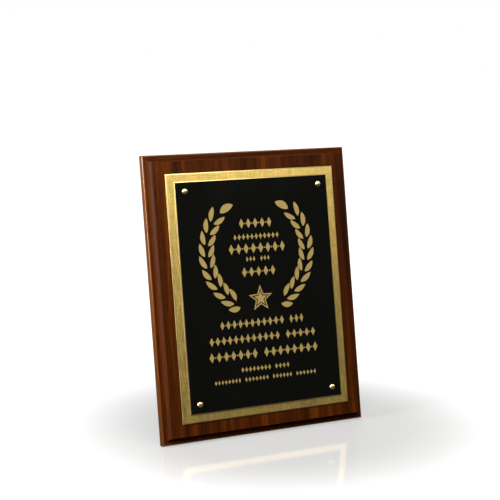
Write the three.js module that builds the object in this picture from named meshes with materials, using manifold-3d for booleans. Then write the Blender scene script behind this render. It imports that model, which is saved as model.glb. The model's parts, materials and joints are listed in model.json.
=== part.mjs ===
// A wooden award plaque that stands on a folding easel leg, in millimetres, +Z up.
// The front faces -Y, +X is to the right, and the origin is below the middle of its box.
import * as THREE from 'three';
import { mergeVertices } from 'three/addons/utils/BufferGeometryUtils.js';
import Module from 'manifold-3d';

const wasm = await Module();
wasm.setup();

// Driving dimensions
const GAP = 0.3;
const LEAN = THREE.MathUtils.degToRad(9);
const BOARD = { width: 203.2, height: 254, thickness: 12.7 };
const MOULDING = { inset: 6.35, depth: 6, arris: 1.1, lip: 1.3, quirk: 0.6, steps: 10, arrisSteps: 3 };
const EASED = 0.4;
const BACKING = { width: 168.3, height: 219.1, thickness: 0.8, bevel: 0.8 };
const ENGRAVING = { width: 154, height: 204.8, thickness: 0.8, bevel: 0.8 };
const PLATE_EDGE = 0.3;
const PIN = { insetX: 9.8, insetZ: 8.8, headRadius: 2.6, headHeight: 1.7, shankRadius: 0.7, shank: 9.4 };
const HANGER = { width: 46, height: 24, thickness: 1.2, corner: 4, fromTop: 30, screwX: 17.5 };
const KEYHOLE = { entryRadius: 4.75, entryDrop: 4.4, slotWidth: 5, slotRise: 6 };
const HEAD_POCKET = { width: 13, height: 20, depth: 7 };
const HINGE = { height: 165, width: 42, leafHeight: 22, leaf: 1, knuckle: 2.3, pin: 1, centre: 16 };
const HINGE_SCREW = { x: 14, fromPin: 15 };
const LUG = { width: 8, thickness: 1 };
const LEG = { open: THREE.MathUtils.degToRad(16), thickness: 6, top: 4, topWidth: 46, footWidth: 60 };
const TIP_HEIGHT = 3;
const SCREW = { headRadius: 2.6, headHeight: 1.5, shankRadius: 1.2, recess: 0.9 };
const BOARD_SCREW_LENGTH = 8;
const LEG_SCREW_LENGTH = 5.4;
const ROUND = 20;

// Colours and finishes
const FINISH = {
  wood: { color: 0x4a2212, roughness: 0.25, metalness: 0 },
  gold: { color: 0xc9a75e, roughness: 0.35, metalness: 1 },
  black: { color: 0x0d0d0c, roughness: 0.4, metalness: 0.2 },
  brass: { color: 0xd0ab5a, roughness: 0.25, metalness: 1 },
  steel: { color: 0xa9a9a4, roughness: 0.4, metalness: 1 },
  rubber: { color: 0x1b1b1b, roughness: 0.8, metalness: 0 },
};

function toSolid(geometry) {
  const bare = geometry.clone();
  bare.deleteAttribute('normal');
  bare.deleteAttribute('uv');
  const merged = mergeVertices(bare, 1e-4);
  const vertProperties = merged.attributes.position.array;
  const triVerts = Uint32Array.from(merged.index.array);
  return new wasm.Manifold(new wasm.Mesh({ numProp: 3, vertProperties, triVerts }));
}

function toMesh(name, solid, finish) {
  const made = solid.getMesh();
  const geometry = new THREE.BufferGeometry();
  geometry.setAttribute('position', new THREE.BufferAttribute(made.vertProperties, 3));
  geometry.setIndex(new THREE.BufferAttribute(made.triVerts, 1));
  const mesh = new THREE.Mesh(geometry, new THREE.MeshStandardMaterial(FINISH[finish]));
  mesh.name = name;
  return mesh;
}

function box(x0, x1, y0, y1, z0, z1) {
  const geometry = new THREE.BoxGeometry(x1 - x0, y1 - y0, z1 - z0);
  geometry.translate((x0 + x1) / 2, (y0 + y1) / 2, (z0 + z1) / 2);
  return toSolid(geometry);
}

// A round rod along Y, from y0 to y1
function rodY(radius, x, z, y0, y1) {
  const geometry = new THREE.CylinderGeometry(radius, radius, y1 - y0, ROUND);
  geometry.translate(x, (y0 + y1) / 2, z);
  return toSolid(geometry);
}

// A round rod along X on the hinge's axis
function rodX(radius, x0, x1) {
  const geometry = new THREE.CylinderGeometry(radius, radius, x1 - x0, ROUND);
  geometry.rotateZ(Math.PI / 2);
  geometry.translate((x0 + x1) / 2, 0, 0);
  return toSolid(geometry);
}

// A front outline (x, z) made solid from y0 to y1
function extrudeY(shape, y0, y1) {
  const geometry = new THREE.ExtrudeGeometry(shape, { depth: y1 - y0, bevelEnabled: false, curveSegments: 10 });
  geometry.rotateX(Math.PI / 2);
  geometry.translate(0, y1, 0);
  return toSolid(geometry);
}

// A side outline (y, z) made solid over a width centred on x = 0
function extrudeX(shape, width) {
  const geometry = new THREE.ExtrudeGeometry(shape, { depth: width, bevelEnabled: false });
  const turn = new THREE.Matrix4().makeBasis(
    new THREE.Vector3(0, 1, 0), new THREE.Vector3(0, 0, 1), new THREE.Vector3(1, 0, 0));
  geometry.applyMatrix4(turn);
  geometry.translate(-width / 2, 0, 0);
  return toSolid(geometry);
}

// The section across a panel: its edge profile (inset, y), back to front, on both sides
function sectionAcross(span, edge) {
  const left = edge.map(([inset, y]) => [inset - span / 2, y]);
  const right = edge.map(([inset, y]) => [span / 2 - inset, y]).reverse();
  return left.concat(right);
}

// A panel with the same mitred edge profile on its four sides
function panel(width, height, edge) {
  const across = sectionAcross(width, edge).map(([x, y]) => new THREE.Vector2(x, y));
  const upright = new THREE.ExtrudeGeometry(new THREE.Shape(across), { depth: height, bevelEnabled: false });
  upright.translate(0, 0, -height / 2);
  const along = sectionAcross(height, edge).map(([z, y]) => new THREE.Vector2(y, z));
  return toSolid(upright).intersect(extrudeX(new THREE.Shape(along), width));
}

// The board's edge: eased back, plain side, rounded arris, hollow cove and a small step to the face
function coveEdge() {
  const { inset, depth, arris, lip, quirk, steps, arrisSteps } = MOULDING;
  const rounded = new THREE.EllipseCurve(arris, depth + arris, arris, arris, Math.PI, 1.5 * Math.PI, false);
  const cove = new THREE.EllipseCurve(lip, quirk, inset - lip, depth - quirk, Math.PI / 2, 0, true);
  const curved = rounded.getPoints(arrisSteps).concat(cove.getPoints(steps)).map((p) => [p.x, p.y]);
  const eased = [[EASED, BOARD.thickness], [0, BOARD.thickness - EASED]];
  return eased.concat(curved, [[inset, EASED / 2], [inset + EASED / 2, 0]]);
}

function plateEdge(thickness, bevel) {
  return [[0, thickness], [0, thickness - PLATE_EDGE], [bevel, 0]];
}

function pinPlaces() {
  const x = ENGRAVING.width / 2 - PIN.insetX;
  const z = ENGRAVING.height / 2 - PIN.insetZ;
  return [
    { name: 'top_left', x: -x, z },
    { name: 'top_right', x, z },
    { name: 'bottom_left', x: -x, z: -z },
    { name: 'bottom_right', x, z: -z },
  ];
}

// A countersunk screw: its head's top at y = 0, its point at -length
function screw(length) {
  const { headRadius, headHeight, shankRadius, recess } = SCREW;
  const profile = [[0, -length], [shankRadius, 2 * shankRadius - length], [shankRadius, -headHeight],
    [headRadius, -0.25], [headRadius, 0], [0, 0]].map(([r, y]) => new THREE.Vector2(r, y));
  const body = toSolid(new THREE.LatheGeometry(profile, ROUND));
  const arm = headRadius * 0.62;
  const width = 0.35;
  const cross = box(-arm, arm, -recess, 1, -width, width).add(box(-width, width, -recess, 1, -arm, arm));
  return body.subtract(cross);
}

// The clearance that a screw needs in what it passes through
function screwHole(length) {
  const { headRadius, headHeight, shankRadius } = SCREW;
  const wide = headRadius + GAP;
  const profile = [[0, -length - GAP], [shankRadius + GAP, -length - GAP], [shankRadius + GAP, -headHeight - GAP],
    [wide, -0.25 - GAP], [wide, 1], [0, 1]].map(([r, y]) => new THREE.Vector2(r, y));
  return toSolid(new THREE.LatheGeometry(profile, ROUND));
}

function keyholeShape(grow) {
  const { entryRadius, entryDrop, slotWidth, slotRise } = KEYHOLE;
  const half = slotWidth / 2 + grow;
  const radius = entryRadius + grow;
  const meet = Math.asin(half / radius);
  const path = new THREE.Path();
  path.absarc(0, -entryDrop, radius, Math.PI / 2 + meet, Math.PI / 2 - meet + 2 * Math.PI, false);
  path.lineTo(half, slotRise - half);
  path.absarc(0, slotRise - half, half, 0, Math.PI, false);
  path.closePath();
  return path;
}

function roundedRect(width, height, radius) {
  const shape = new THREE.Shape();
  const x = width / 2 - radius;
  const z = height / 2 - radius;
  shape.absarc(x, z, radius, 0, Math.PI / 2, false);
  shape.absarc(-x, z, radius, Math.PI / 2, Math.PI, false);
  shape.absarc(-x, -z, radius, Math.PI, 1.5 * Math.PI, false);
  shape.absarc(x, -z, radius, 1.5 * Math.PI, 2 * Math.PI, false);
  shape.closePath();
  return shape;
}

const back = BOARD.thickness;
const hangerZ = BOARD.height / 2 - HANGER.fromTop;
const pinAxis = { y: back + GAP + HINGE.knuckle, z: HINGE.height - BOARD.height / 2 };
const leafInner = -HINGE.knuckle;
const leafOuter = leafInner + HINGE.leaf;
const boardLeafFace = pinAxis.y + leafOuter;

function makeBoard() {
  let board = panel(BOARD.width, BOARD.height, coveEdge());
  for (const { x, z } of pinPlaces()) {
    board = board.subtract(rodY(PIN.shankRadius + GAP, x, z, -1, PIN.shank));
  }
  const pocket = roundedRect(HANGER.width + 2 * GAP, HANGER.height + 2 * GAP, HANGER.corner);
  const headPocket = roundedRect(HEAD_POCKET.width, HEAD_POCKET.height, HANGER.corner);
  const cuts = extrudeY(pocket, back - HANGER.thickness - GAP, back + 1)
    .add(extrudeY(headPocket, back - HEAD_POCKET.depth, back + 1));
  board = board.subtract(cuts.translate([0, 0, hangerZ]));
  for (const side of [-1, 1]) {
    const hangerHole = screwHole(BOARD_SCREW_LENGTH).translate([side * HANGER.screwX, back, hangerZ]);
    const hingeHole = screwHole(BOARD_SCREW_LENGTH)
      .translate([side * HINGE_SCREW.x, boardLeafFace, pinAxis.z + HINGE_SCREW.fromPin]);
    board = board.subtract(hangerHole).subtract(hingeHole);
  }
  return toMesh('board', board, 'wood');
}

// A metal plate whose back sits a gap in front of restingOn
function makePlate(name, size, restingOn, finish) {
  let plate = panel(size.width, size.height, plateEdge(size.thickness, size.bevel));
  for (const { x, z } of pinPlaces()) {
    plate = plate.subtract(rodY(PIN.shankRadius + GAP, x, z, -1, size.thickness + 1));
  }
  const mesh = toMesh(name, plate, finish);
  mesh.position.y = restingOn - GAP - size.thickness;
  return mesh;
}

function makePin(place, face) {
  const dome = new THREE.EllipseCurve(0, 0, PIN.headRadius, PIN.headHeight, -Math.PI / 2, 0, false);
  const length = PIN.shank + Math.abs(face) - GAP;
  const profile = dome.getPoints(6).concat([
    new THREE.Vector2(PIN.shankRadius, 0),
    new THREE.Vector2(PIN.shankRadius, length - 1.5),
    new THREE.Vector2(0, length),
  ]);
  profile[0].x = 0;
  const mesh = toMesh(`plate_pin_${place.name}`, toSolid(new THREE.LatheGeometry(profile, ROUND)), 'brass');
  mesh.position.set(place.x, face, place.z);
  return mesh;
}

function makeHanger() {
  const shape = roundedRect(HANGER.width, HANGER.height, HANGER.corner);
  shape.holes.push(keyholeShape(0));
  let plate = extrudeY(shape, -HANGER.thickness, 0);
  for (const side of [-1, 1]) {
    plate = plate.subtract(screwHole(BOARD_SCREW_LENGTH).translate([side * HANGER.screwX, 0, 0]));
  }
  const mesh = toMesh('keyhole_hanger', plate, 'steel');
  mesh.position.set(0, back, hangerZ);
  return mesh;
}

function makeScrew(name, length, x, y, z, turned) {
  const mesh = toMesh(name, screw(length), 'steel');
  mesh.position.set(x, y, z);
  mesh.rotation.x = turned ? Math.PI : 0;
  return mesh;
}

// The leaf screwed to the board: its two outer knuckles hold the pin
function makeBoardLeaf() {
  const half = HINGE.width / 2;
  const inner = HINGE.centre / 2 + GAP;
  const clear = HINGE.knuckle + GAP;
  let leaf = box(-half, half, leafInner, leafOuter, clear, HINGE.leafHeight);
  for (const [x0, x1] of [[-half, -inner], [inner, half]]) {
    leaf = leaf.add(box(x0, x1, leafInner, leafOuter, 0, clear + 1)).add(rodX(HINGE.knuckle, x0, x1));
  }
  leaf = leaf.subtract(rodX(HINGE.pin + GAP, -half - 1, half + 1));
  for (const side of [-1, 1]) {
    const hole = screwHole(BOARD_SCREW_LENGTH);
    leaf = leaf.subtract(hole.translate([side * HINGE_SCREW.x, leafOuter, HINGE_SCREW.fromPin]));
  }
  const mesh = toMesh('hinge_board_leaf', leaf, 'steel');
  mesh.position.set(0, pinAxis.y, pinAxis.z);
  return mesh;
}

// The lug meets the board's leaf at the open angle and stops the leg there
function lugLength() {
  const start = HINGE.knuckle - LUG.thickness;
  return (start * Math.cos(LEG.open) - leafOuter - GAP) / Math.sin(LEG.open);
}

function makeLegLeaf() {
  const half = HINGE.width / 2;
  const centre = HINGE.centre / 2;
  const clear = HINGE.knuckle + GAP;
  let leaf = box(-half, half, leafInner, leafOuter, -HINGE.leafHeight, -clear)
    .add(box(-centre, centre, leafInner, leafOuter, -clear - 1, 0))
    .add(rodX(HINGE.knuckle, -centre, centre))
    .add(box(-LUG.width / 2, LUG.width / 2, HINGE.knuckle - LUG.thickness, HINGE.knuckle, 0, lugLength()))
    .subtract(rodX(HINGE.pin + GAP, -half, half));
  for (const side of [-1, 1]) {
    const hole = screwHole(LEG_SCREW_LENGTH).rotate([180, 0, 0]);
    leaf = leaf.subtract(hole.translate([side * HINGE_SCREW.x, leafInner, -HINGE_SCREW.fromPin]));
  }
  return toMesh('hinge_leg_leaf', leaf, 'steel');
}

function makeHingePin() {
  const half = HINGE.width / 2;
  const mesh = toMesh('hinge_pin', rodX(HINGE.pin, -half - 0.4, half + 0.4), 'steel');
  mesh.position.set(0, pinAxis.y, pinAxis.z);
  return mesh;
}

const legInner = leafOuter + GAP;
const legOuter = legInner + LEG.thickness;
const fromUpright = LEG.open - LEAN;
const lift = (BOARD.thickness - EASED) * Math.sin(LEAN);
const pinAbove = HINGE.height * Math.cos(LEAN) - pinAxis.y * Math.sin(LEAN) + lift;

// The height along the leg where it passes a level above the table, at a depth y in the leg
function alongLeg(level, y) {
  return (level - pinAbove - y * Math.sin(fromUpright)) / Math.cos(fromUpright);
}

// The stretch of the tapered leg between two levels; with no upper level it reaches its square top
function legStretch(lower, upper) {
  const end = alongLeg(0, legOuter) - 1;
  const front = new THREE.Shape();
  const grow = (LEG.footWidth - LEG.topWidth) / 2 / -end;
  const topHalf = LEG.topWidth / 2;
  front.moveTo(topHalf + grow * -end, end);
  front.lineTo(topHalf, -LEG.top - 4);
  front.absarc(topHalf - 4, -LEG.top - 4, 4, 0, Math.PI / 2, false);
  front.absarc(4 - topHalf, -LEG.top - 4, 4, Math.PI / 2, Math.PI, false);
  front.lineTo(-topHalf - grow * -end, end);
  front.closePath();
  const topAt = (y) => (upper === null ? -LEG.top : alongLeg(upper, y));
  const side = new THREE.Shape();
  side.moveTo(legInner, alongLeg(lower, legInner));
  side.lineTo(legOuter, alongLeg(lower, legOuter));
  side.lineTo(legOuter, topAt(legOuter));
  side.lineTo(legInner, topAt(legInner));
  side.closePath();
  return extrudeY(front, legInner - 1, legOuter + 1).intersect(extrudeX(side, LEG.footWidth + 2));
}

function makeLeg() {
  let leg = legStretch(TIP_HEIGHT + GAP, null);
  for (const side of [-1, 1]) {
    const hole = screwHole(LEG_SCREW_LENGTH).rotate([180, 0, 0]);
    leg = leg.subtract(hole.translate([side * HINGE_SCREW.x, leafInner, -HINGE_SCREW.fromPin]));
  }
  return toMesh('easel_leg', leg, 'wood');
}

const backingFace = -GAP - BACKING.thickness;
const engravingFace = backingFace - GAP - ENGRAVING.thickness;

// What folds: the leg, its half of the hinge, its two screws and the rubber tip
const folding = new THREE.Group();
folding.position.set(0, pinAxis.y, pinAxis.z);
folding.rotation.x = LEG.open;
folding.add(makeLeg(), makeLegLeaf(), toMesh('leg_tip', legStretch(0, TIP_HEIGHT), 'rubber'));

// What stays: everything fastened to the board, centred on the board's front face
const leaning = new THREE.Group();
leaning.rotation.x = -LEAN;
leaning.add(makeBoard());
leaning.add(makePlate('backing_plate', BACKING, 0, 'gold'));
leaning.add(makePlate('engraving_plate', ENGRAVING, backingFace, 'black'));
for (const place of pinPlaces()) {
  leaning.add(makePin(place, engravingFace - GAP));
}
leaning.add(makeHanger(), makeBoardLeaf(), makeHingePin(), folding);
for (const [side, sign] of [['left', -1], ['right', 1]]) {
  const x = sign * HINGE_SCREW.x;
  const onLeaf = pinAxis.z + HINGE_SCREW.fromPin;
  const hangerScrew = makeScrew(`hanger_screw_${side}`, BOARD_SCREW_LENGTH, sign * HANGER.screwX, back, hangerZ);
  leaning.add(hangerScrew, makeScrew(`hinge_board_screw_${side}`, BOARD_SCREW_LENGTH, x, boardLeafFace, onLeaf));
  folding.add(makeScrew(`hinge_leg_screw_${side}`, LEG_SCREW_LENGTH, x, leafInner, -HINGE_SCREW.fromPin, true));
}

// Stood on the table, with the origin below the middle of the whole
leaning.position.z = lift + (BOARD.height / 2) * Math.cos(LEAN);
leaning.position.y = (BOARD.height / 2) * Math.sin(LEAN);
const plaque = new THREE.Group();
plaque.add(leaning);
plaque.updateMatrixWorld(true);
leaning.position.y -= new THREE.Box3().setFromObject(plaque, true).getCenter(new THREE.Vector3()).y;

export default plaque;
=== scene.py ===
# %% [markdown]
# # A wooden award plaque
# The object is a lacquered board that carries a brushed gold plate and a black engraved plate, held
# by four brass pins. On its back are a hanger and a hinged leg that lets it stand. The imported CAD
# model is loaded first and stays where it is: everything made here has to fit it.

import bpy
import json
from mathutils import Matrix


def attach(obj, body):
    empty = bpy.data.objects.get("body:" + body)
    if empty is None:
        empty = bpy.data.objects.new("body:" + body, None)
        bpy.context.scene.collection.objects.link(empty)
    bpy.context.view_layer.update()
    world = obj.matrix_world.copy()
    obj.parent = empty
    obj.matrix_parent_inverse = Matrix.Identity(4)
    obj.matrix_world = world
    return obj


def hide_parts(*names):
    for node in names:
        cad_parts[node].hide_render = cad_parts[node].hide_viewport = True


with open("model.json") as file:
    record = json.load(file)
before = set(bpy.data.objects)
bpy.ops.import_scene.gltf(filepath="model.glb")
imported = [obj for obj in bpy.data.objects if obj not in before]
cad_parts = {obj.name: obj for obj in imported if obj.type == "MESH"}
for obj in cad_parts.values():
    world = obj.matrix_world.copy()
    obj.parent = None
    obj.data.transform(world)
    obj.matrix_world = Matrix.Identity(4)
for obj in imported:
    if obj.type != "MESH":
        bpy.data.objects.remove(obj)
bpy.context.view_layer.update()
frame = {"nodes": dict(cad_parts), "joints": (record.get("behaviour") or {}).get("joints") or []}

# %% Blender's modules and the unit
import json
import math

import bmesh
import bpy
from mathutils import Matrix, Vector

MM = 0.001
print("one millimetre is", MM, "m")

# %% [markdown]
# ## Two spaces to work in
# The board leans back and the leg leans the other way, so neither lies along the axes. Each piece is
# drawn upright in a space of its own, where x is across, y is towards the back and z is along the
# wood. `PLAQUE` and `LEG` then carry the finished points to where the piece stands. The hinge's axis
# is known from the frame, so both spaces are found from it.

# %% The plaque's space and the leg's space
LEAN = math.radians(9)
LEG_OPEN = math.radians(16)
BOARD = Vector((203.2, 12.7, 254)) * MM
HINGE_BEHIND_FACE = 15.3 * MM
HINGE_HEIGHT = 165 * MM

hinge = Vector(frame["joints"][0]["pos_m"])
lean_back = Matrix.Rotation(-LEAN, 4, "X")
hinge_in_plaque = Vector((0, HINGE_BEHIND_FACE, HINGE_HEIGHT - BOARD.z / 2))
face_centre = hinge - lean_back.to_3x3() @ hinge_in_plaque
PLAQUE = Matrix.Translation(face_centre) @ lean_back
LEG = Matrix.Translation(hinge) @ Matrix.Rotation(LEG_OPEN - LEAN, 4, "X")
print("face centre", [round(v, 4) for v in face_centre])

# %% [markdown]
# ## Camera
# Seen from far away through a long lens, upright edges stay nearly parallel, as the eye expects. The
# camera looks from the left and a little above, and aims at a point above the board's foot.

# %% Camera
VIEW_AZIMUTH = math.radians(-27.5)
VIEW_ELEVATION = math.radians(9)
CAMERA_DISTANCE = 1250 * MM
AIM_ACROSS = -17.3 * MM
AIM_ABOVE = 164 * MM

level_view = Vector((math.sin(VIEW_AZIMUTH), -math.cos(VIEW_AZIMUTH), 0))
towards_camera = level_view * math.cos(VIEW_ELEVATION) + Vector((0, 0, math.sin(VIEW_ELEVATION)))
across_view = Vector((math.cos(VIEW_AZIMUTH), math.sin(VIEW_AZIMUTH), 0))
up_view = towards_camera.cross(across_view)
foot = PLAQUE @ Vector((0, 0, -BOARD.z / 2))
camera = bpy.data.objects.new("camera", bpy.data.cameras.new("camera"))
camera.data.lens = 100
camera.data.sensor_width = 36
camera.location = foot + towards_camera * CAMERA_DISTANCE + across_view * AIM_ACROSS + up_view * AIM_ABOVE
camera.rotation_euler = towards_camera.to_track_quat("Z", "Y").to_euler()
bpy.context.collection.objects.link(camera)
bpy.context.scene.camera = camera
print("camera at", [round(v, 3) for v in camera.location])

# %% [markdown]
# ## Nodes by name
# Every material here is a small network of nodes. One helper adds a node, sets its properties and
# fills its inputs: an input that is given another node's socket is linked to it. Short names for the
# sums, the stretched noise, the ranges and the mixes keep the networks readable below. A mix of the
# Multiply kind tints a colour with a pattern of greys.

# %% Helper: add a node
def add(tree, kind, inputs=None, **settings):
    made = tree.nodes.new(kind)
    for name, value in settings.items():
        setattr(made, name, value)
    for key, value in (inputs or {}).items():
        socket = made.inputs[key]
        if isinstance(value, bpy.types.NodeSocket):
            tree.links.new(value, socket)
        else:
            socket.default_value = value
    return made


def maths(tree, operation, *values):
    return add(tree, "ShaderNodeMath", dict(enumerate(values)), operation=operation).outputs[0]


def plus(tree, first, second):
    return maths(tree, "ADD", first, second)


def minus(tree, first, second):
    return maths(tree, "SUBTRACT", first, second)


def times(tree, first, second):
    return maths(tree, "MULTIPLY", first, second)


print("sums ready:", plus.__name__, minus.__name__, times.__name__)

# %% Helpers: patterns and colours
def stretch(tree, vector, scale):
    return add(tree, "ShaderNodeVectorMath", {0: vector, 1: scale}, operation="MULTIPLY").outputs[0]


def noise(tree, vector, scale, detail, roughness=0.5):
    """A scale of three numbers stretches the noise along the axes."""
    if isinstance(scale, tuple):
        vector, scale = stretch(tree, vector, scale), 1.0
    return add(tree, "ShaderNodeTexNoise",
               {"Vector": vector, "Scale": scale, "Detail": detail, "Roughness": roughness}).outputs["Fac"]


def in_range(tree, value, start, end, low=0.0, high=1.0, curve="LINEAR"):
    return add(tree, "ShaderNodeMapRange",
               {"Value": value, "From Min": start, "From Max": end, "To Min": low, "To Max": high},
               interpolation_type=curve).outputs[0]


def mix_colours(tree, share, first, second, blend="MIX"):
    return add(tree, "ShaderNodeMix", {0: share, 6: first, 7: second}, data_type="RGBA",
               blend_type=blend).outputs[2]


def tinted(tree, colour, tone):
    return mix_colours(tree, 1.0, colour, tone, "MULTIPLY")


print("patterns ready:", noise.__name__, in_range.__name__, mix_colours.__name__, tinted.__name__)

# %% Helper: a shader node group with named sockets
def new_group(name, inputs, outputs):
    group = bpy.data.node_groups.new(name, "ShaderNodeTree")
    for label, kind, value in inputs:
        socket = group.interface.new_socket(label, in_out="INPUT", socket_type=kind)
        if value is not None:
            socket.default_value = value
    for label, kind in outputs:
        group.interface.new_socket(label, in_out="OUTPUT", socket_type=kind)
    return group, add(group, "NodeGroupInput").outputs, add(group, "NodeGroupOutput").inputs


VECTOR, NUMBER, COLOUR = "NodeSocketVector", "NodeSocketFloat", "NodeSocketColor"
print("helpers ready for", bpy.app.version_string)

# %% [markdown]
# ## Wood grain
# Straight-grained veneer is dark and light streaks that run the length of the board. Noise that is
# squeezed across the grain and drawn out along it gives such streaks: a wide noise for the bands of
# growth, a fine one for the fibres, and a very fine one, cut off at a threshold, for the pores. The
# Darkening input makes the wood a little darker from left to right.

# %% Group: wood grain
SWAY = 12 * MM
BAND_SHARE = 0.66
PORE_TONE = 0.45


def make_grain_group():
    group, given, out = new_group(
        "wood_grain",
        [("Vector", VECTOR, None), ("Dark", COLOUR, (0.02, 0.006, 0.002, 1)),
         ("Middle", COLOUR, (0.05, 0.015, 0.004, 1)), ("Light", COLOUR, (0.09, 0.03, 0.008, 1)),
         ("Contrast", NUMBER, 1.0), ("Darkening", NUMBER, 0.0)],
        [("Color", COLOUR), ("Height", NUMBER)])
    along = given["Vector"]
    drift = noise(group, along, (14, 14, 5), 2.0)
    sway = times(group, minus(group, drift, 0.5), SWAY)
    shift = add(group, "ShaderNodeCombineXYZ", {"X": sway})
    bent = add(group, "ShaderNodeVectorMath", {0: along, 1: shift.outputs[0]}).outputs[0]
    bands = noise(group, bent, (110, 110, 3), 4.0, 0.6)
    fibres = noise(group, bent, (520, 520, 9), 4.0, 0.6)
    pores = noise(group, bent, (1900, 1900, 70), 2.0)
    mixed = plus(group, times(group, bands, BAND_SHARE), times(group, fibres, 1 - BAND_SHARE))
    centred = times(group, minus(group, mixed, 0.5), given["Contrast"])
    across = add(group, "ShaderNodeSeparateXYZ", {0: along}).outputs["X"]
    slope = times(group, across, given["Darkening"])
    tone = minus(group, plus(group, centred, 0.5), slope)
    low = in_range(group, tone, 0.36, 0.5, curve="SMOOTHSTEP")
    high = in_range(group, tone, 0.5, 0.66, curve="SMOOTHSTEP")
    dark_half = mix_colours(group, low, given["Dark"], given["Middle"])
    whole = mix_colours(group, high, dark_half, given["Light"])
    pit = in_range(group, pores, 0.36, 0.42, PORE_TONE, 1.0)
    group.links.new(tinted(group, whole, pit), out["Color"])
    group.links.new(times(group, tone, pit), out["Height"])
    return group


GRAIN = make_grain_group()
print("grain group:", len(GRAIN.nodes), "nodes")

# %% [markdown]
# ## Brushed metal
# Brushing leaves thousands of fine parallel scratches. The same trick of stretched noise gives them,
# this time as a change of tone, of roughness and of height. Finer marks across them and a faint cloud
# keep it from looking ruled.

# %% Group: brushing
LINE_SHARE = 0.65
TONE_SWING, ROUGH_SWING, HAZE = 1.6, 0.3, 0.08


def make_brush_group():
    group, given, out = new_group(
        "brushing",
        [("Vector", VECTOR, None), ("Depth", NUMBER, 1.0), ("Roughness", NUMBER, 0.35)],
        [("Tone", NUMBER), ("Roughness", NUMBER), ("Height", NUMBER)])
    lines = noise(group, given["Vector"], (1500, 1500, 110), 3.0, 0.6)
    strands = noise(group, given["Vector"], (130, 130, 1400), 2.0)
    cloud = noise(group, given["Vector"], 60.0, 2.0)
    both = plus(group, times(group, lines, LINE_SHARE), times(group, strands, 1 - LINE_SHARE))
    swing = times(group, minus(group, both, 0.5), given["Depth"])
    group.links.new(plus(group, 1.0, times(group, swing, TONE_SWING)), out["Tone"])
    haze = times(group, minus(group, cloud, 0.5), HAZE)
    change = plus(group, haze, times(group, swing, ROUGH_SWING))
    group.links.new(plus(group, given["Roughness"], change), out["Roughness"])
    group.links.new(both, out["Height"])
    return group


BRUSHING = make_brush_group()
print("brushing group:", len(BRUSHING.nodes), "nodes")

# %% [markdown]
# ## Signs of handling
# Even a new plaque has a little dust and a few smudges. They hardly change the colour, but they
# break up the gloss, so this group only varies the roughness and gives a height for a faint ripple.

# %% Group: handling
def make_handling_group():
    group, given, out = new_group(
        "handling",
        [("Vector", VECTOR, None), ("Roughness", NUMBER, 0.2), ("Amount", NUMBER, 0.1)],
        [("Roughness", NUMBER), ("Height", NUMBER)])
    smudge = noise(group, given["Vector"], 22.0, 4.0)
    dust = noise(group, given["Vector"], 900.0, 2.0)
    patch = in_range(group, smudge, 0.42, 0.68)
    speck = in_range(group, dust, 0.62, 0.7)
    more = times(group, plus(group, patch, speck), given["Amount"])
    group.links.new(plus(group, given["Roughness"], more), out["Roughness"])
    group.links.new(smudge, out["Height"])
    return group


HANDLING = make_handling_group()
print("handling group:", len(HANDLING.nodes), "nodes")

# %% [markdown]
# ## Starting a material
# Patterns are read in the piece's own upright space, so the grain follows the wood and not the table.
# A Mapping node of the Texture type undoes the lean: it takes the place and turn of the space.

# %% Helper: a material with its pattern space
UNTURNED = (0, 0, 0)
HERE = Matrix.Identity(4)


def new_material(name, space=PLAQUE, turned=UNTURNED):
    material = bpy.data.materials.new(name)
    material.use_nodes = True
    tree = material.node_tree
    shader = tree.nodes["Principled BSDF"]
    where = add(tree, "ShaderNodeTexCoord").outputs["Object"]
    upright = add(tree, "ShaderNodeMapping",
                  {"Vector": where, "Location": space.translation, "Rotation": space.to_euler()},
                  vector_type="TEXTURE").outputs[0]
    if any(turned):
        upright = add(tree, "ShaderNodeMapping", {"Vector": upright, "Rotation": turned}).outputs[0]
    return material, tree, shader, upright


def use_group(tree, group, inputs):
    return add(tree, "ShaderNodeGroup", inputs, node_tree=group).outputs


def bump(tree, shader, height, strength, distance):
    relief = add(tree, "ShaderNodeBump", {"Height": height, "Strength": strength, "Distance": distance})
    tree.links.new(relief.outputs["Normal"], shader.inputs["Normal"])


print("the plaque's space is turned by", [round(math.degrees(v), 2) for v in PLAQUE.to_euler()], "degrees")

# %% [markdown]
# ## The wood's finishes
# The board's face is figured veneer with a thin satin lacquer. Its moulded edge is plainer and paler,
# and the flat rim and the arris have a glossier coat than the hollow, which sprayed lacquer hardly
# reaches. The paler colour of the flat rim, the flank and the arris is partly the edge's own stain and
# partly painted light, standing in for the strong light that the flank catches from the left. The
# board's back is only sealed. They differ in their colours, in how strong the grain is and in their
# coat, so one function makes them all. The grain follows the length of each strip of the edge.

# %% Wood materials
def make_wood(name, colours, contrast, lacquer, sheen, space=PLAQUE, turned=UNTURNED, darkening=0.0,
              index=1.3):
    """lacquer, sheen and index: the clear coat's weight, roughness and index of refraction."""
    material, tree, shader, upright = new_material(name, space, turned)
    dark, middle, light = colours
    grain = use_group(tree, GRAIN, {"Vector": upright, "Dark": dark, "Middle": middle, "Light": light,
                                    "Contrast": contrast, "Darkening": darkening})
    touch = use_group(tree, HANDLING, {"Vector": upright, "Roughness": 0.45, "Amount": 0.12})
    tree.links.new(grain["Color"], shader.inputs["Base Color"])
    tree.links.new(touch["Roughness"], shader.inputs["Roughness"])
    shader.inputs["Coat Weight"].default_value = lacquer
    shader.inputs["Coat Roughness"].default_value = sheen
    shader.inputs["Coat IOR"].default_value = index
    shader.inputs["Specular IOR Level"].default_value = 0.02
    bump(tree, shader, grain["Height"], 0.2, 0.1 * MM)
    return material


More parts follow.
